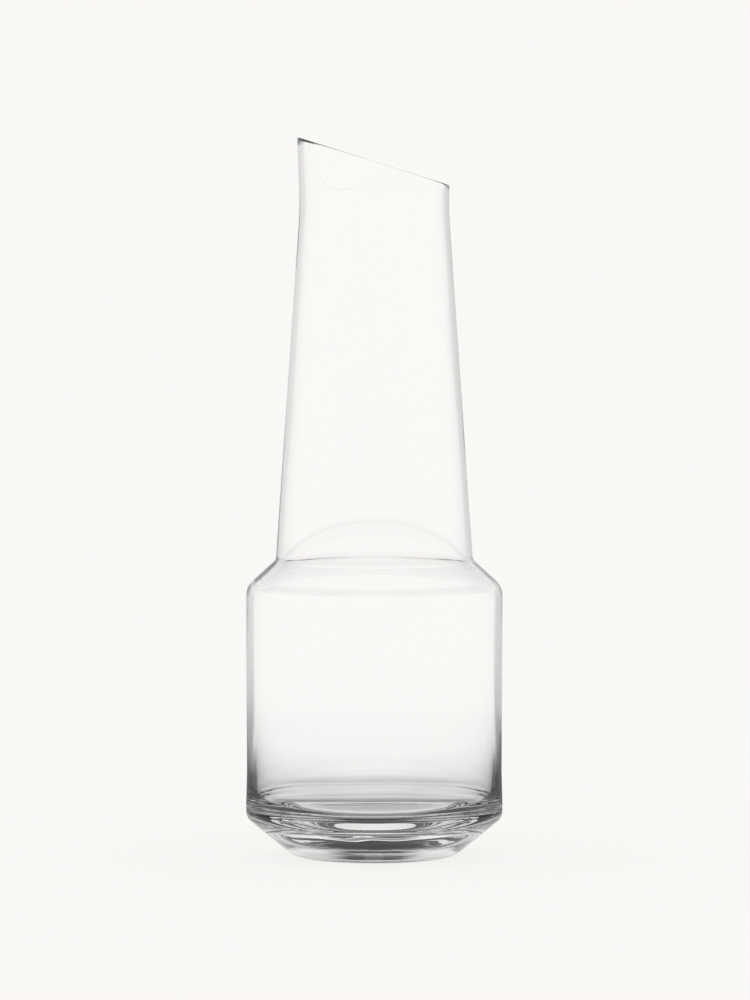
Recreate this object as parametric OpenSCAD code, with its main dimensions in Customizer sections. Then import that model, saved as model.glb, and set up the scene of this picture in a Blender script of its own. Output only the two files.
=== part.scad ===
// Water carafe: one blown piece of clear glass, in millimetres.
// The origin is the middle of the foot, on the table, and +Z is up.
// The high lip of the slanted mouth points along -X.

/* [Overall] */
// Height of the high lip above the table
overall_h = 280.5; // [270:0.5:320]
// Fall of the mouth from the high lip to the low lip, in degrees
mouth_angle = 17.5; // [0:0.5:24]

/* [Neck] */
// Outer diameter at the lip height, where the neck flares again
lip_d = 60; // [58:0.5:70]
// Outer diameter at the throat, the narrowest place
throat_d = 57.8; // [50:0.2:57.8]
// Height of the throat
throat_h = 254; // [240:1:260]
// Outer diameter at the foot of the neck
neck_foot_d = 76.8; // [66:0.2:84]
// Height of the foot of the neck
neck_foot_h = 116; // [112:1:140]
// Thickness of the glass in the neck
neck_wall = 2.2; // [1.4:0.1:4]

/* [Body] */
// Outer diameter of the body
body_d = 100; // [92:1:120]
// Height of the corner where the body wall turns into the shoulder
body_h = 105.5; // [80:0.5:108]
// Thickness of the glass in the body wall
body_wall = 3; // [2:0.1:5]
// How far the waist over the seam is drawn in
waist_in = 0.3; // [0:0.1:1]
// Height of the waist
waist_h = 34; // [26:1:60]

/* [Base] */
// Diameter of the foot, at the corner before it is rounded
foot_d = 62; // [56:1:76]
// Height of the corner where the body wall turns into the chamfer
chamfer_h = 15.6; // [10:0.2:17]
// Height of the mould seam
seam_h = 20.6; // [19:0.2:24]
// Width of the raised line of the mould seam
seam_w = 0.8; // [0.4:0.1:1.6]
// How far the line of the mould seam stands out
seam_out = 0.15; // [0.05:0.05:0.5]
// Height over which the inner wall leans in towards the floor
lean_h = 52; // [40:1:70]
// How far the inner wall leans in at the floor
lean_in = 1.25; // [0.25:0.25:4]
// Height of the inner floor at its edge
floor_h = 15.8; // [12:0.2:26]
// How far the middle of the inner floor lies lower than its edge
floor_dip = 1; // [0.2:0.1:3]
// Diameter of the shallow hollow under the foot
hollow_d = 48; // [20:1:48]
// Depth of the shallow hollow under the foot
hollow_depth = 0.3; // [0.1:0.1:3]

/* [Rounding] */
// Radius that blends the throat
throat_round = 150; // [40:5:200]
// Radius in the corner at the foot of the neck
neck_foot_round = 3; // [1:0.5:6]
// Radius of the shoulder's outer corner
shoulder_round = 8; // [4:0.5:12]
// Radius between the body wall and the chamfer
heel_round = 5.6; // [2:0.2:8]
// Radius between the chamfer and the foot
foot_round = 10; // [2:0.5:10]
// Radius where the inner wall starts to lean in
lean_round = 72; // [20:1:90]
// Radius between the inner wall and the floor
floor_round = 10.8; // [4:0.2:12]

/* [Hidden] */

// Number of facets round the axis, and of steps along each rounded corner and each dished middle
facets = 180;
arc_steps = 8;
dish_steps = 6;
// Longest share of a straight side that one rounding may take
side_share = 0.48;
// How far cuts and outlines run past the glass
overrun = 5;

lip_r = lip_d / 2;
throat_r = throat_d / 2;
neck_foot_r = neck_foot_d / 2;
body_r = body_d / 2;
foot_r = foot_d / 2;
floor_r = body_r - body_wall - lean_in;
hollow_r = hollow_d / 2;

// The flare goes on in a straight line above the lip, so that the mouth cut crosses whole walls
top_h = overall_h + overrun;
top_r = lip_r + (lip_r - throat_r) / (overall_h - throat_h) * overrun;

// Lean of the shoulder from upright, and how far its lean lowers the inner corners per wall thickness
shoulder_lean = atan2(body_r - neck_foot_r, neck_foot_h - body_h);
inner_drop = tan(shoulder_lean / 2);

// Corners are [radius, height, rounding], from the top down
outer_corners = [
    [top_r, top_h, 0],
    [throat_r, throat_h, throat_round],
    [neck_foot_r, neck_foot_h, neck_foot_round],
    [body_r, body_h, shoulder_round],
    [body_r - waist_in, waist_h, 0],
    [body_r, seam_h + seam_w / 2, 0],
    [body_r + seam_out, seam_h, 0],
    [body_r, seam_h - seam_w / 2, 0],
    [body_r, chamfer_h, heel_round],
    [foot_r, 0, foot_round],
    [hollow_r, 0, 0]
];
inner_corners = [
    [top_r - neck_wall, top_h, 0],
    [throat_r - neck_wall, throat_h, throat_round],
    [neck_foot_r - neck_wall, neck_foot_h - neck_wall * inner_drop, neck_foot_round + neck_wall],
    [body_r - body_wall, body_h - body_wall * inner_drop, shoulder_round - body_wall],
    [body_r - body_wall, lean_h, lean_round],
    [floor_r, floor_h, floor_round],
    [0, floor_h, 0]
];

function unit(v) = v / norm(v);
function place(corner) = [corner[0], corner[1]];

// Points of the arc that rounds one corner and touches both its sides.
// The outline turns by twice half at the corner, and the arc starts at the distance reach from it.
function corner_arc(before, corner, after, round) =
    let (
        to_before = unit(before - corner),
        to_after = unit(after - corner),
        half = acos(-(to_before * to_after)) / 2,
        shorter_side = min(norm(before - corner), norm(after - corner)),
        reach = min(round * tan(half), side_share * shorter_side),
        radius = reach / tan(half),
        inward = unit(to_before + to_after),
        across = unit(to_before - (to_before * inward) * inward),
        centre = corner + inward * radius / cos(half)
    )
    [for (i = [0:arc_steps])
        let (turn = half * (1 - 2 * i / arc_steps))
        centre + radius * (across * sin(turn) - inward * cos(turn))];

// A whole outline from its corners, where a rounding of 0 leaves the corner sharp
function rounded(corners) = [
    for (i = [0:len(corners) - 1])
        each (corners[i][2] == 0
            ? [place(corners[i])]
            : corner_arc(place(corners[i - 1]), place(corners[i]), place(corners[i + 1]), corners[i][2]))
];

// The way from the edge of a dished middle to the axis, where it has risen by lift
function dished(edge_r, edge_h, lift) = [
    for (i = [1:dish_steps])
        let (share = 1 - i / dish_steps)
        [edge_r * share, edge_h + lift * (1 - share * share)]
];

// The thick base, the walls and the shoulder, turned about the axis, with the shallow hollow under the foot
module outer_form() {
    walls = rounded(outer_corners);
    hollow = dished(hollow_r, 0, hollow_depth);
    rotate_extrude($fn = facets) polygon(concat([[0, top_h]], walls, hollow));
}

// The space for the water, open through the mouth. The last corner is the middle of a level floor,
// and the dished floor takes its place.
module cavity() {
    level = rounded(inner_corners);
    walls = [for (i = [0:len(level) - 2]) level[i]];
    edge = walls[len(walls) - 1];
    floor_line = dished(edge[0], floor_h, -floor_dip);
    rotate_extrude($fn = facets) polygon(concat([[0, top_h]], walls, floor_line));
}

// All that lies above the slanted plane through the high lip
module mouth_cut() {
    cut_l = overrun + lip_d / cos(mouth_angle) + overrun;
    cut_w = lip_d + 2 * overrun;
    cut_h = lip_d;
    translate([-lip_r, 0, overall_h])
        rotate([0, mouth_angle, 0])
            translate([-overrun, -cut_w / 2, 0]) cube([cut_l, cut_w, cut_h]);
}

module glass_vessel() {
    color("lightcyan", 0.5) difference() {
        outer_form();
        cavity();
        mouth_cut();
    }
}

glass_vessel();
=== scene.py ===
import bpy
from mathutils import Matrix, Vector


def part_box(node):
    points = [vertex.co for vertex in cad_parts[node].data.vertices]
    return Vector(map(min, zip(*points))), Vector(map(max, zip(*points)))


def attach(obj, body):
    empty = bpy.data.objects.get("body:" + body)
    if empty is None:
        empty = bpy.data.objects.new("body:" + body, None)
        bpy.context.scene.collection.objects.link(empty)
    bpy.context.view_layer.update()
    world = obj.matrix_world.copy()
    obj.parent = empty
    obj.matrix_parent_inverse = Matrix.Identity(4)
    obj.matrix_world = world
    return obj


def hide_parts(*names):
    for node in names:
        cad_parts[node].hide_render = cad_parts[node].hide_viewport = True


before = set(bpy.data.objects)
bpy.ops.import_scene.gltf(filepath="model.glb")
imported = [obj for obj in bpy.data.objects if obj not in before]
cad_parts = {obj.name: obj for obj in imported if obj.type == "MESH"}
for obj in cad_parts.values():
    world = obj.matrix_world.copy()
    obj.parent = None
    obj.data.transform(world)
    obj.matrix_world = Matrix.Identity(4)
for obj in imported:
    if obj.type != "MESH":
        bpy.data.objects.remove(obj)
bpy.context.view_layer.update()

import math

import bpy
import numpy as np

MM = 0.001

# Sizes of the carafe in metres, as in the CAD model: heights above the table, radii from the axis
OVERALL_H = float(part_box("glass_vessel")[1][2])
MOUTH_TILT = math.radians(17.5)
LIP_R = 30 * MM
THROAT_R, THROAT_H = 28.9 * MM, 254 * MM
NECK_FOOT_R, NECK_FOOT_H = 38.4 * MM, 116 * MM
NECK_WALL = 2.2 * MM
BODY_R, BODY_H = 50 * MM, 105.5 * MM
BODY_WALL = 3 * MM
WAIST_IN, WAIST_H = 0.3 * MM, 34 * MM
SEAM_H, SEAM_W = 20.6 * MM, 0.8 * MM
CHAMFER_H = 15.6 * MM
FOOT_R = 31 * MM
LEAN_IN, LEAN_H = 1.25 * MM, 52 * MM
FLOOR_H, FLOOR_DIP = 15.8 * MM, 1 * MM
HOLLOW_R, HOLLOW_DEPTH = 24 * MM, 0.3 * MM
THROAT_ROUND, NECK_FOOT_ROUND, SHOULDER_ROUND = 150 * MM, 3 * MM, 8 * MM
HEEL_ROUND, FOOT_ROUND = 5.6 * MM, 10 * MM
FLOOR_ROUND = 10.8 * MM

# Sizes that are the visual model's own: the seam stays inside the flat facets of the CAD model, the
# inner wall starts to lean in over a longer curve, and the rim's two edges are polished round
SEAM_OUT = 0.118 * MM
LEAN_ROUND = 900 * MM
RIM_EDGE = 0.6 * MM

# The walls are joined to the slanted mouth above this height, in the straight part of the neck
JOIN_H = 200 * MM
JOIN_SHARE = (JOIN_H - NECK_FOOT_H) / (THROAT_H - NECK_FOOT_H)
JOIN_R = NECK_FOOT_R + (THROAT_R - NECK_FOOT_R) * JOIN_SHARE

# How the shoulder leans away from the axis, and how far the inner corners at its two ends lie under
# the outer ones, as a share of the wall's thickness
SHOULDER_LEAN = math.atan2(BODY_R - NECK_FOOT_R, NECK_FOOT_H - BODY_H)
INNER_DROP = math.tan(SHOULDER_LEAN / 2)

# Grid of the glass: meridians round the axis, and rows along each stretch of a meridian
MERIDIANS = 264
ROWS_PER_ARC = 17
ROWS_PER_SIDE = 6
ROWS_NECK = 24
ROWS_RIM_EDGE = 8

# An arc at a corner takes at most this share of the shorter side
ARC_SHARE = 0.48

# The rim's radius depends on the rim's height and the other way round: so many rounds settle both
RIM_ROUNDS = 6

# The blown inside is a little uneven: size of its waves, and for each wave how many go round the
# axis, how fast it turns with height and with radius in radians per metre, and where it starts
UNEVEN = 0.015 * MM
INNER_WAVES = [
    (2, 45, 60, 0.4),
    (3, -70, 90, 1.9),
    (5, 95, -120, 4.1),
    (7, -60, 150, 2.6),
    (11, 80, 210, 5.2),
]

# Glass. What a metre of it takes away is the density times 1 less the tint.
GLASS_IOR = 1.52
GLASS_TINT, GLASS_DENSITY = (0.5, 0.6, 0.58, 1), 1.5

# The foot's ring is scuffed up to this height, with a soft edge towards the hollow. A noise lays the
# scuffs: they show where it is over the first limit, and are full where it is over the second.
WORN_H, WORN_EDGE = 0.02 * MM, 1 * MM
WORN_ROUGHNESS = 0.15
SCUFF_SIZE, SCUFF_DEPTH = 0.9 * MM, 0.002 * MM
SCUFF_DETAIL, SCUFF_BEND = 5, 1.5
SCUFF_SHOWS, SCUFF_FULL = 0.6, 0.75


def unit(v):
    """The direction of a vector, as a vector of length 1."""
    return v / np.linalg.norm(v)


def corner_arc(before, corner, after, rounding):
    """Points of the circular arc of radius rounding that touches both sides of a corner.

    The outline turns by 2 * half at the corner, so the arc starts rounding * tan(half) away from it,
    and its centre lies rounding / cos(half) away along the bisector.
    """
    to_before, to_after = unit(before - corner), unit(after - corner)
    half = math.acos(-float(to_before @ to_after)) / 2
    shorter_side = min(np.linalg.norm(before - corner), np.linalg.norm(after - corner))
    reach = min(rounding * math.tan(half), ARC_SHARE * shorter_side)
    radius = reach / math.tan(half)
    inward = unit(to_before + to_after)
    across = unit(to_before - (to_before @ inward) * inward)
    centre = corner + inward * radius / math.cos(half)
    turn = half * np.linspace(1, -1, ROWS_PER_ARC)[:, None]
    return centre + radius * (across * np.sin(turn) - inward * np.cos(turn))


def outline(corners):
    """Radius and height along a meridian, from corners [radius, height, rounding].

    The sides are straight, and a corner with a rounding is a circular arc.
    """
    places = np.array(corners)[:, :2]
    bends = [places[:1]]
    for i in range(1, len(corners) - 1):
        rounding = corners[i][2]
        bends.append(corner_arc(*places[i - 1:i + 2], rounding) if rounding else places[i:i + 1])
    bends.append(places[-1:])
    share = np.linspace(0, 1, ROWS_PER_SIDE + 1)[1:-1, None]
    rows = [bends[0]]
    for start, end in zip(bends[:-1], bends[1:]):
        rows += [start[-1] + (end[0] - start[-1]) * share, end]
    return np.concatenate(rows)


def outer_outline():
    """The outside from the middle of the hollow under the foot up to the join in the neck.

    The hollow is a parabola: its height falls from HOLLOW_DEPTH with the square of the radius.
    """
    rise = np.linspace(0, 1, 2 * ROWS_PER_SIDE, endpoint=False)
    hollow = np.stack([HOLLOW_R * rise, HOLLOW_DEPTH * (1 - rise ** 2)], axis=1)
    walls = outline([
        [HOLLOW_R, 0, 0],
        [FOOT_R, 0, FOOT_ROUND],
        [BODY_R, CHAMFER_H, HEEL_ROUND],
        [BODY_R, SEAM_H - SEAM_W / 2, 0],
        [BODY_R + SEAM_OUT, SEAM_H, 0],
        [BODY_R, SEAM_H + SEAM_W / 2, 0],
        [BODY_R - WAIST_IN, WAIST_H, 0],
        [BODY_R, BODY_H, SHOULDER_ROUND],
        [NECK_FOOT_R, NECK_FOOT_H, NECK_FOOT_ROUND],
        [JOIN_R, JOIN_H, 0],
    ])
    return np.concatenate([hollow, walls])


def inner_outline():
    """The inside from the join in the neck down to the middle of the floor.

    The floor is a parabola too, lowest in its middle. It takes the place of the outline's last side.
    """
    walls = outline([
        [JOIN_R - NECK_WALL, JOIN_H, 0],
        [NECK_FOOT_R - NECK_WALL, NECK_FOOT_H - NECK_WALL * INNER_DROP, NECK_FOOT_ROUND + NECK_WALL],
        [BODY_R - BODY_WALL, BODY_H - BODY_WALL * INNER_DROP, SHOULDER_ROUND - BODY_WALL],
        [BODY_R - BODY_WALL, LEAN_H, LEAN_ROUND],
        [BODY_R - BODY_WALL - LEAN_IN, FLOOR_H, FLOOR_ROUND],
        [0, FLOOR_H, 0],
    ])[:-ROWS_PER_SIDE]
    share = np.linspace(1, 0, 4 * ROWS_PER_SIDE)[1:]
    floor = np.stack([walls[-1, 0] * share, FLOOR_H - FLOOR_DIP * (1 - share ** 2)], axis=1)
    return np.concatenate([walls, floor])


def neck_radius(height):
    """Outer radius of the neck above the join: a cone up to the throat, then a flare to the lip."""
    throat = [THROAT_R, THROAT_H, THROAT_ROUND]
    upper = outline([[JOIN_R, JOIN_H, 0], throat, [LIP_R, OVERALL_H, 0]])
    return np.interp(height, upper[:, 1], upper[:, 0])


def mouth_plane(x):
    """Height of the slanted plane of the mouth, which falls from the high lip at -X."""
    return OVERALL_H - math.tan(MOUTH_TILT) * (x + LIP_R)


def rim_profile():
    """The rim from outside to inside: distance from the wall's middle, and height over the cut.

    It is a flat top between two quarter circles of radius RIM_EDGE.
    """
    turn = np.linspace(0, math.pi / 2, ROWS_RIM_EDGE)
    across = NECK_WALL / 2 - RIM_EDGE * (1 - np.cos(turn))
    over_cut = -RIM_EDGE * (1 - np.sin(turn))
    outer = np.stack([across, over_cut], axis=1)
    inner = (outer * (-1, 1))[::-1]
    return np.concatenate([outer, inner])[:, :, None]


def inner_waves(angle, radius, height):
    """How far the uneven inside stands out of its outline.

    It is a sum of cosine waves round the axis. Inside the hollow's radius they fade with the square
    of the radius, so that the floor has no kink in its middle.
    """
    total = sum(np.cos(count * angle + by_height * height + by_radius * radius + start)
                for count, by_height, by_radius, start in INNER_WAVES)
    return UNEVEN * total * np.clip(radius / HOLLOW_R, 0, 1) ** 2


def carafe_surface():
    """Radius and height of every point of the glass, on rows along the meridians times meridians.

    Up to the join every meridian is the same outline. Above it the rows are spread between the join
    and the rim of their own meridian, whose top lies in the slanted plane of the mouth. The waves of
    the inside are laid on along the outline's normal, and end at the rim.
    """
    angle = np.linspace(0, 2 * math.pi, MERIDIANS, endpoint=False)[None, :]
    cosine = np.cos(angle)
    outer, inner = outer_outline(), inner_outline()
    rim_r = np.full_like(cosine, LIP_R - NECK_WALL / 2)
    for _ in range(RIM_ROUNDS):
        rim_r = neck_radius(mouth_plane(rim_r * cosine)) - NECK_WALL / 2
    across, over_cut = rim_profile().transpose(1, 0, 2)
    rim_radius = rim_r + across
    rim_height = mouth_plane(rim_radius * cosine) + over_cut
    climb = np.linspace(0, 1, ROWS_NECK + 1)[1:-1, None]
    outer_height = JOIN_H + (rim_height[0] - JOIN_H) * climb
    inner_height = (JOIN_H + (rim_height[-1] - JOIN_H) * climb)[::-1]
    full = np.ones_like(cosine)
    inside_r = np.concatenate([neck_radius(inner_height) - NECK_WALL, inner[:, :1] * full])
    inside_h = np.concatenate([inner_height, inner[:, 1:] * full])
    along_r, along_h = np.gradient(inside_r, axis=0), np.gradient(inside_h, axis=0)
    step = np.hypot(along_r, along_h)
    from_rim = np.clip(np.arange(len(inside_r)) / ROWS_NECK, 0, 1)[:, None]
    waves = inner_waves(angle, inside_r, inside_h) * from_rim
    inside_r = inside_r + waves * along_h / step
    inside_h = inside_h - waves * along_r / step
    radius = np.concatenate([outer[:, :1] * full, neck_radius(outer_height), rim_radius, inside_r])
    height = np.concatenate([outer[:, 1:] * full, outer_height, rim_height, inside_h])
    return radius, height


def turned_mesh(name, radius, height):
    """A closed mesh from rows of radius and height round the Z axis.

    The first and the last row are its poles, so each of them becomes one point with a fan round it.
    """
    rows, columns = radius.shape
    angle = np.linspace(0, 2 * math.pi, columns, endpoint=False)[None, :]
    points = np.stack([radius * np.cos(angle), radius * np.sin(angle), height], axis=2)
    rings = points[1:-1].reshape(-1, 3)
    points = np.concatenate([rings, points[:1, 0], points[-1:, 0]])
    index = np.arange(len(rings)).reshape(rows - 2, columns)
    ahead = np.roll(index, -1, axis=1)
    quads = np.stack([index[:-1], ahead[:-1], ahead[1:], index[1:]], axis=2).reshape(-1, 4)
    first_pole, last_pole = np.full(columns, len(rings)), np.full(columns, len(rings) + 1)
    fans = np.concatenate([
        np.stack([first_pole, ahead[0], index[0]], axis=1),
        np.stack([last_pole, index[-1], ahead[-1]], axis=1),
    ])
    mesh = bpy.data.meshes.new(name)
    mesh.from_pydata(points.tolist(), [], quads.tolist() + fans.tolist())
    mesh.polygons.foreach_set("use_smooth", np.ones(len(mesh.polygons), dtype=bool))
    mesh.update()
    piece = bpy.data.objects.new(name, mesh)
    bpy.context.scene.collection.objects.link(piece)
    return piece


# Places of a Mix node's sockets: its share, its two numbers, its two colours and its colour out
MIX_SHARE = 0
MIX_NUMBERS = (2, 3)
MIX_COLOURS = (6, 7)
MIX_COLOUR_OUT = 2


def feed(tree, socket, value):
    """Give a socket its value, which is a number or another node's output."""
    if isinstance(value, (int, float)):
        socket.default_value = value
    else:
        tree.links.new(value, socket)


def math_node(tree, operation, *values):
    """A Math node whose inputs are numbers or other nodes' outputs."""
    node = tree.nodes.new("ShaderNodeMath")
    node.operation = operation
    for socket, value in zip(node.inputs, values):
        feed(tree, socket, value)
    return node.outputs[0]


def ease(tree, value, low, high, at_low, at_high):
    """A smooth step: at_low where value is under low, at_high where it is over high."""
    node = tree.nodes.new("ShaderNodeMapRange")
    node.interpolation_type = "SMOOTHSTEP"
    limits = {"Value": value, "From Min": low, "From Max": high, "To Min": at_low, "To Max": at_high}
    for name, limit in limits.items():
        feed(tree, node.inputs[name], limit)
    return node.outputs[0]


def blend(tree, share, at_none, at_full):
    """at_none where the share is 0, at_full where it is 1."""
    node = tree.nodes.new("ShaderNodeMix")
    for place, value in zip((MIX_SHARE, *MIX_NUMBERS), (share, at_none, at_full)):
        feed(tree, node.inputs[place], value)
    return node.outputs[0]


def clear_glass():
    """Clear glass, polished all over but for the ring that it stands on, which is scuffed by tables.

    Its thickness takes a little of the light away, a trace more red than green and blue, so the base
    is a shade darker than the walls.
    """
    material = bpy.data.materials.new("clear_glass")
    material.use_nodes = True
    tree = material.node_tree
    shader = tree.nodes["Principled BSDF"]
    shader.inputs["Base Color"].default_value = (1, 1, 1, 1)
    shader.inputs["Transmission Weight"].default_value = 1
    shader.inputs["IOR"].default_value = GLASS_IOR
    place = tree.nodes.new("ShaderNodeTexCoord")
    parts = tree.nodes.new("ShaderNodeSeparateXYZ")
    tree.links.new(place.outputs["Object"], parts.inputs[0])
    x, y, z = parts.outputs
    x_squared = math_node(tree, "MULTIPLY", x, x)
    y_squared = math_node(tree, "MULTIPLY", y, y)
    from_axis = math_node(tree, "SQRT", math_node(tree, "ADD", x_squared, y_squared))
    on_table = ease(tree, z, WORN_H, 2 * WORN_H, 1.0, 0.0)
    past_hollow = ease(tree, from_axis, HOLLOW_R - WORN_EDGE, HOLLOW_R, 0.0, 1.0)
    ring = math_node(tree, "MULTIPLY", on_table, past_hollow)
    scuffs = tree.nodes.new("ShaderNodeTexNoise")
    scuffs.inputs["Scale"].default_value = 1 / SCUFF_SIZE
    scuffs.inputs["Detail"].default_value = SCUFF_DETAIL
    scuffs.inputs["Distortion"].default_value = SCUFF_BEND
    tree.links.new(place.outputs["Object"], scuffs.inputs["Vector"])
    wear = ease(tree, scuffs.outputs[0], SCUFF_SHOWS, SCUFF_FULL, 0.0, WORN_ROUGHNESS)
    tree.links.new(math_node(tree, "MULTIPLY", ring, wear), shader.inputs["Roughness"])
    grain = tree.nodes.new("ShaderNodeBump")
    grain.inputs["Distance"].default_value = SCUFF_DEPTH
    tree.links.new(math_node(tree, "MULTIPLY", ring, scuffs.outputs[0]), grain.inputs["Height"])
    tree.links.new(grain.outputs[0], shader.inputs["Normal"])
    thickness = tree.nodes.new("ShaderNodeVolumeAbsorption")
    thickness.inputs["Color"].default_value = GLASS_TINT
    thickness.inputs["Density"].default_value = GLASS_DENSITY
    tree.links.new(thickness.outputs[0], tree.nodes["Material Output"].inputs["Volume"])
    return material


# The pale ground that the photograph shows, as a linear colour, and the neutral grey that it turns
# to in the shade
GROUND = (0.956, 0.939, 0.922, 1)
SHADE = (0.925, 0.935, 0.95, 1)

# How much brighter the ground is through the glass, which makes up for what the glass mirrors away
THROUGH = 1.012

# Surfaces of the glass that light meets at most when it is mirrored on the outside, when it comes by
# the edge of a wall, and when it comes straight through both walls
MET_OUTSIDE = 1
MET_BY_EDGE = 3
MET_STRAIGHT = 4

# What Ray Depth counts on top of these surfaces where light ends on the table, and in the world
OWN_TABLE = 0
OWN_WORLD = 1

# Light that was mirrored inside the glass many times comes from a darker studio than light that came
# straight through. Shares of the ground's brightness in it, by elevation in degrees: straight behind
# and in front of the carafe, and on the diagonals, where the lamps stand. LAMPS says how much of a
# lamp shows, by degrees from behind.
BETWEEN_LAMPS = [(-90, 1.0), (5, 1.0), (7, 0.02), (90, 0.02)]
ON_LAMPS = [(-90, 1.0), (5, 1.0), (8, 0.1), (13, 0.85), (50, 0.85), (56, 0.1), (90, 0.03)]
LAMPS = [(0, 0), (18, 0), (30, 1), (80, 1), (100, 0), (180, 0)]

# The same for light straight through the glass and by the edge of a wall, and how much of it shows,
# by degrees from behind. The rest is as bright as the ground.
STRAIGHT = [
    (-90, 1.0), (9, 1.0), (12, 0.04), (30, 0.04), (34, 0.25), (38, 0.35), (40, 1.0), (90, 1.0),
]
BY_EDGE = [
    (-90, 1.0), (4.8, 1.0), (6.2, 0.04), (30, 0.04), (34, 0.25), (38, 0.35), (40, 1.0), (90, 1.0),
]
BEHIND = [(0, 1), (10, 1), (20, 0), (180, 0)]

# Light that only passed through the edge of a wall comes from grey: its level on the left and on the
# right, the sine of the azimuth over which the one turns into the other, and how much of the grey
# shows, by degrees from behind and by elevation
EDGE_LEFT, EDGE_RIGHT = 0.55, 0.38
EDGE_TURN = 0.3
EDGE_GREY = [(0, 0.95), (8, 0.9), (20, 0.65), (36, 0.35), (48, 0.3), (60, 0), (180, 0)]
EDGE_GREY_UP = [(-90, 1), (4, 1), (12, 0), (90, 0)]

# Light mirrored once on the outside, by degrees from behind: at the outline, where it comes from
# behind, it is grey
OUTSIDE = [(0, 0.7), (40, 0.7), (80, 1), (180, 1)]

# The table, and how far it lies under the foot, so that the two faces don't fall together
TABLE_R, TABLE_GAP = 3.0, 0.2 * MM
TABLE_FACETS = 96

# Painted shade on the table, seen only by way of the glass, as shares of the ground's brightness by
# distance from the axis in metres, mostly in a ring round the foot and over stretches further out:
# for light straight through the glass, by the edge of a wall, mirrored many times, and mirrored
# outside
TABLE_STRAIGHT = [
    (0.0, 0.7), (0.02, 0.8), (0.027, 1.0), (0.032, 0.9), (0.036, 0.3), (0.044, 0.25), (0.055, 0.5),
    (0.078, 0.8), (0.092, 0.8), (0.11, 0.64), (0.15, 0.76), (0.25, 0.97), (0.35, 1.0), (3.0, 1.0),
]
TABLE_BY_EDGE = [
    (0.0, 0.7), (0.02, 0.8), (0.027, 1.0), (0.032, 0.9), (0.036, 0.08), (0.055, 0.04), (0.1, 0.04),
    (0.18, 0.05), (0.25, 0.28), (0.35, 0.42), (0.5, 0.52), (0.8, 0.65), (1.4, 0.85), (3.0, 0.95),
]
TABLE_MIRRORED = [
    (0.0, 0.7), (0.02, 0.8), (0.027, 1.0), (0.032, 0.9), (0.036, 0.12), (0.055, 0.12), (0.09, 0.6),
    (0.11, 0.5), (0.14, 0.45), (0.38, 0.5), (0.5, 0.9), (0.8, 1.0), (3.0, 1.0),
]
TABLE_OUTSIDE = [
    (0.0, 1.0), (0.15, 1.0), (0.25, 0.3), (0.4, 0.45), (0.6, 0.7), (1.0, 1.0), (3.0, 1.0),
]

# These levels are laid out by this power of the distance, which spreads the stops near the foot
TABLE_POWER = 0.25

# How much of the table's painted shade by the edge of a wall shows near the carafe and far from it,
# by degrees from behind, and between which distances the one turns into the other. The rest is as
# straight through.
TABLE_TO_SIDES = [(0, 0), (6, 0), (20, 1), (140, 1), (160, 0), (180, 0)]
TABLE_FAR_SIDES = [(0, 0), (3, 0), (8, 1), (34, 1), (42, 0), (180, 0)]
FAR_STARTS, FAR_FULL = 0.2, 0.4

# The painted grey of the walls' edges comes in on the table between these distances
GREY_STARTS, GREY_FULL = 0.03, 0.1

# Share of real light and shadow on the table by the foot, and the distances over which it fades out
SHADOW_SHARE = 0.1
SHADOW_FULL, SHADOW_ENDS = 0.1, 0.6

# The camera: how far off, how high, how far to the right, the height that it aims at, and its lens
CAMERA_FAR, CAMERA_H, CAMERA_RIGHT = 2.6, 0.271, 0.27 * MM
AIM_H = 0.1393
FOCAL_LENGTH = 240.6
SEES_UP_TO = 50

# How often light may be bent or mirrored before it is lost
BOUNCES = 9


def seen_through_glass(tree):
    """1 for light that comes to the camera by way of the glass, mirrored or bent; else 0."""
    path = tree.nodes.new("ShaderNodeLightPath")
    mirrored, bent = path.outputs["Is Glossy Ray"], path.outputs["Is Transmission Ray"]
    not_direct = math_node(tree, "SUBTRACT", 1.0, path.outputs["Is Camera Ray"])
    return math_node(tree, "MULTIPLY", math_node(tree, "MAXIMUM", mirrored, bent), not_direct)


def met_at_most(tree, surfaces):
    """1 for light that has met at most so many surfaces of the glass, and 0 for the rest.

    Ray Depth is a whole number, so the limit lies half a surface further.
    """
    path = tree.nodes.new("ShaderNodeLightPath")
    return math_node(tree, "LESS_THAN", path.outputs["Ray Depth"], surfaces + 0.5)


def by_way(tree, own, outside, by_edge, straight, mirrored):
    """One of four levels, by how many surfaces of the glass the light has met on its way.

    A mirror image on the outside meets one, light by the edge of a wall two or three, light straight
    through four, and light mirrored inside the glass more. own is OWN_TABLE or OWN_WORLD.
    """
    level = blend(tree, met_at_most(tree, MET_STRAIGHT + own), mirrored, straight)
    level = blend(tree, met_at_most(tree, MET_BY_EDGE + own), level, by_edge)
    level = blend(tree, met_at_most(tree, MET_OUTSIDE + own), level, outside)
    return math_node(tree, "MULTIPLY", level, THROUGH)


def ground_times(tree, share):
    """The ground's colour times a share. The darker it gets, the closer it is to a neutral grey."""
    tint = tree.nodes.new("ShaderNodeMix")
    tint.data_type = "RGBA"
    tree.links.new(share, tint.inputs[MIX_SHARE])
    for place, colour in zip(MIX_COLOURS, (SHADE, GROUND)):
        tint.inputs[place].default_value = colour
    node = tree.nodes.new("ShaderNodeVectorMath")
    node.operation = "SCALE"
    tree.links.new(tint.outputs[MIX_COLOUR_OUT], node.inputs[0])
    tree.links.new(share, node.inputs["Scale"])
    return node.outputs[0]


def level_by(tree, value, stops):
    """A grey level that runs straight between stops (value from 0 to 1, level)."""
    ramp = tree.nodes.new("ShaderNodeValToRGB")
    tree.links.new(value, ramp.inputs[0])
    elements = ramp.color_ramp.elements
    elements[0].position, elements[1].position = stops[0][0], stops[-1][0]
    for where, _ in stops[1:-1]:
        elements.new(where)
    for element, (_, level) in zip(elements, stops):
        element.color = (level, level, level, 1)
    return ramp.outputs[0]


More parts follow.
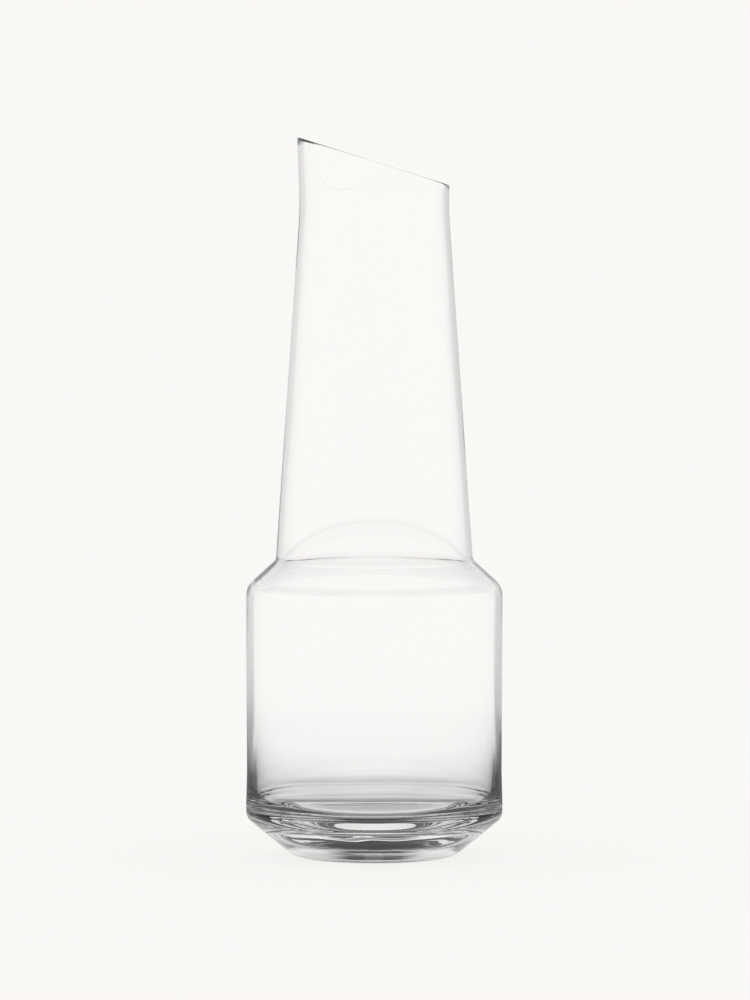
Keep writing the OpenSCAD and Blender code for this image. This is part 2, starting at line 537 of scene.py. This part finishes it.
def by_elevation(tree, z, stops):
    """A grey level that runs straight between stops (elevation in degrees, level).

    z is the height of a direction of length 1, so the elevation is its arcsine. The ramp runs from
    straight down to straight up.
    """
    elevation = math_node(tree, "DIVIDE", math_node(tree, "ARCSINE", z), math.pi)
    up = math_node(tree, "ADD", elevation, 0.5)
    return level_by(tree, up, [(degrees / 180 + 0.5, level) for degrees, level in stops])


def by_azimuth(tree, azimuth, stops):
    """A grey level that runs straight between stops (degrees away from straight behind, level).

    The ramp runs from straight behind the carafe to straight in front of it, alike on both sides.
    """
    away = math_node(tree, "DIVIDE", math_node(tree, "ABSOLUTE", azimuth), math.pi)
    return level_by(tree, away, [(degrees / 180, level) for degrees, level in stops])


def by_distance(tree, distance, stops):
    """A grey level that runs between stops (metres from the axis, level).

    The ramp's place is the distance over TABLE_R, raised to TABLE_POWER.
    """
    spread = math_node(tree, "POWER", math_node(tree, "DIVIDE", distance, TABLE_R), TABLE_POWER)
    return level_by(tree, spread, [((r / TABLE_R) ** TABLE_POWER, level) for r, level in stops])


def edge_level(tree, azimuth):
    """The level that the edges of the walls find in a direction: grey at the back, full in front."""
    sideways = math_node(tree, "SINE", azimuth)
    grey = ease(tree, sideways, -EDGE_TURN, EDGE_TURN, EDGE_LEFT, EDGE_RIGHT)
    return blend(tree, by_azimuth(tree, azimuth, EDGE_GREY), 1.0, grey)


def studio_world():
    """A pale ground for the camera and light straight through, and a studio for what is mirrored.

    In the studio, lamps stand on the diagonals, and over the bright ground it is dark.
    """
    world = bpy.data.worlds.new("studio")
    bpy.context.scene.world = world
    world.use_nodes = True
    tree = world.node_tree
    place = tree.nodes.new("ShaderNodeTexCoord")
    parts = tree.nodes.new("ShaderNodeSeparateXYZ")
    tree.links.new(place.outputs["Generated"], parts.inputs[0])
    x, y, z = parts.outputs
    azimuth = math_node(tree, "ARCTAN2", x, y)
    dark, lit = by_elevation(tree, z, BETWEEN_LAMPS), by_elevation(tree, z, ON_LAMPS)
    mirrored = blend(tree, by_azimuth(tree, azimuth, LAMPS), dark, lit)
    behind = by_azimuth(tree, azimuth, BEHIND)
    straight = blend(tree, behind, 1.0, by_elevation(tree, z, STRAIGHT))
    walls = blend(tree, by_elevation(tree, z, EDGE_GREY_UP), 1.0, edge_level(tree, azimuth))
    over_table = blend(tree, behind, 1.0, by_elevation(tree, z, BY_EDGE))
    by_edge = math_node(tree, "MULTIPLY", walls, over_table)
    outside = math_node(tree, "MULTIPLY", straight, by_azimuth(tree, azimuth, OUTSIDE))
    in_glass = by_way(tree, OWN_WORLD, outside, by_edge, straight, mirrored)
    shown = blend(tree, seen_through_glass(tree), 1.0, in_glass)
    tree.links.new(ground_times(tree, shown), tree.nodes["Background"].inputs["Color"])


def table_disc():
    """A round table top just below the foot: one flat face, whose corners lie on a circle."""
    angle = np.linspace(0, 2 * math.pi, TABLE_FACETS, endpoint=False)
    flat = np.full_like(angle, -TABLE_GAP)
    rim = np.stack([TABLE_R * np.cos(angle), TABLE_R * np.sin(angle), flat], axis=1)
    mesh = bpy.data.meshes.new("table_top")
    mesh.from_pydata(rim.tolist(), [], [list(range(len(rim)))])
    mesh.update()
    table = bpy.data.objects.new("table_top", mesh)
    bpy.context.scene.collection.objects.link(table)
    return table


def pale_table():
    """The pale table: plain ground for the camera with a little of the carafe's shadow.

    By way of the glass its glow carries painted shade near the foot and at the sides, by the levels
    above.
    """
    material = bpy.data.materials.new("pale_table")
    material.use_nodes = True
    tree = material.node_tree
    tree.nodes.clear()
    place = tree.nodes.new("ShaderNodeTexCoord")
    length = tree.nodes.new("ShaderNodeVectorMath")
    length.operation = "LENGTH"
    tree.links.new(place.outputs["Object"], length.inputs[0])
    distance = length.outputs["Value"]
    parts = tree.nodes.new("ShaderNodeSeparateXYZ")
    tree.links.new(place.outputs["Object"], parts.inputs[0])
    azimuth = math_node(tree, "ARCTAN2", parts.outputs["X"], parts.outputs["Y"])
    # By way of the glass the table's glow is painted shade: these levels stand in for shade near the
    # foot
    straight = by_distance(tree, distance, TABLE_STRAIGHT)
    mirrored = by_distance(tree, distance, TABLE_MIRRORED)
    # Painted grey of the walls' edges, laid on the table further out
    grey_share = ease(tree, distance, GREY_STARTS, GREY_FULL, 0.0, 1.0)
    walls = blend(tree, grey_share, 1.0, edge_level(tree, azimuth))
    shaded = math_node(tree, "MULTIPLY", walls, by_distance(tree, distance, TABLE_BY_EDGE))
    near_sides = by_azimuth(tree, azimuth, TABLE_TO_SIDES)
    far_sides = by_azimuth(tree, azimuth, TABLE_FAR_SIDES)
    far = ease(tree, distance, FAR_STARTS, FAR_FULL, 0.0, 1.0)
    by_edge = blend(tree, blend(tree, far, near_sides, far_sides), straight, shaded)
    # Painted shade on the table as the outside of the glass mirrors it
    outer_image = by_distance(tree, distance, TABLE_OUTSIDE)
    outside = math_node(tree, "MULTIPLY", outer_image, by_azimuth(tree, azimuth, OUTSIDE))
    by_glass = seen_through_glass(tree)
    in_glass = by_way(tree, OWN_TABLE, outside, by_edge, straight, mirrored)
    glow = tree.nodes.new("ShaderNodeEmission")
    shown = blend(tree, by_glass, 1.0, in_glass)
    tree.links.new(ground_times(tree, shown), glow.inputs["Color"])
    matt = tree.nodes.new("ShaderNodeBsdfDiffuse")
    matt.inputs["Color"].default_value = (1, 1, 1, 1)
    near_foot = ease(tree, distance, SHADOW_FULL, SHADOW_ENDS, SHADOW_SHARE, 0.0)
    not_by_glass = math_node(tree, "SUBTRACT", 1.0, by_glass)
    both = tree.nodes.new("ShaderNodeMixShader")
    tree.links.new(math_node(tree, "MULTIPLY", near_foot, not_by_glass), both.inputs[0])
    tree.links.new(glow.outputs[0], both.inputs[1])
    tree.links.new(matt.outputs[0], both.inputs[2])
    out = tree.nodes.new("ShaderNodeOutputMaterial")
    tree.links.new(both.outputs[0], out.inputs["Surface"])
    return material


def studio_camera():
    """A long lens level with the rim, aimed at the middle of the carafe from -Y."""
    lens = bpy.data.cameras.new("camera")
    lens.lens = FOCAL_LENGTH
    lens.clip_end = SEES_UP_TO
    camera = bpy.data.objects.new("camera", lens)
    camera.location = (CAMERA_RIGHT, -CAMERA_FAR, CAMERA_H)
    camera.rotation_euler = (math.pi / 2 - math.atan2(CAMERA_H - AIM_H, CAMERA_FAR), 0, 0)
    bpy.context.scene.collection.objects.link(camera)
    bpy.context.scene.camera = camera


studio_camera()
studio_world()
table = table_disc()
table.data.materials.append(pale_table())

vessel = turned_mesh("carafe_glass", *carafe_surface())
vessel.data.materials.append(clear_glass())
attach(vessel, "root")
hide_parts("glass_vessel")

scene = bpy.context.scene
scene.view_settings.view_transform = "Standard"
scene.cycles.max_bounces = BOUNCES
scene.cycles.transmission_bounces = BOUNCES
scene.cycles.glossy_bounces = BOUNCES
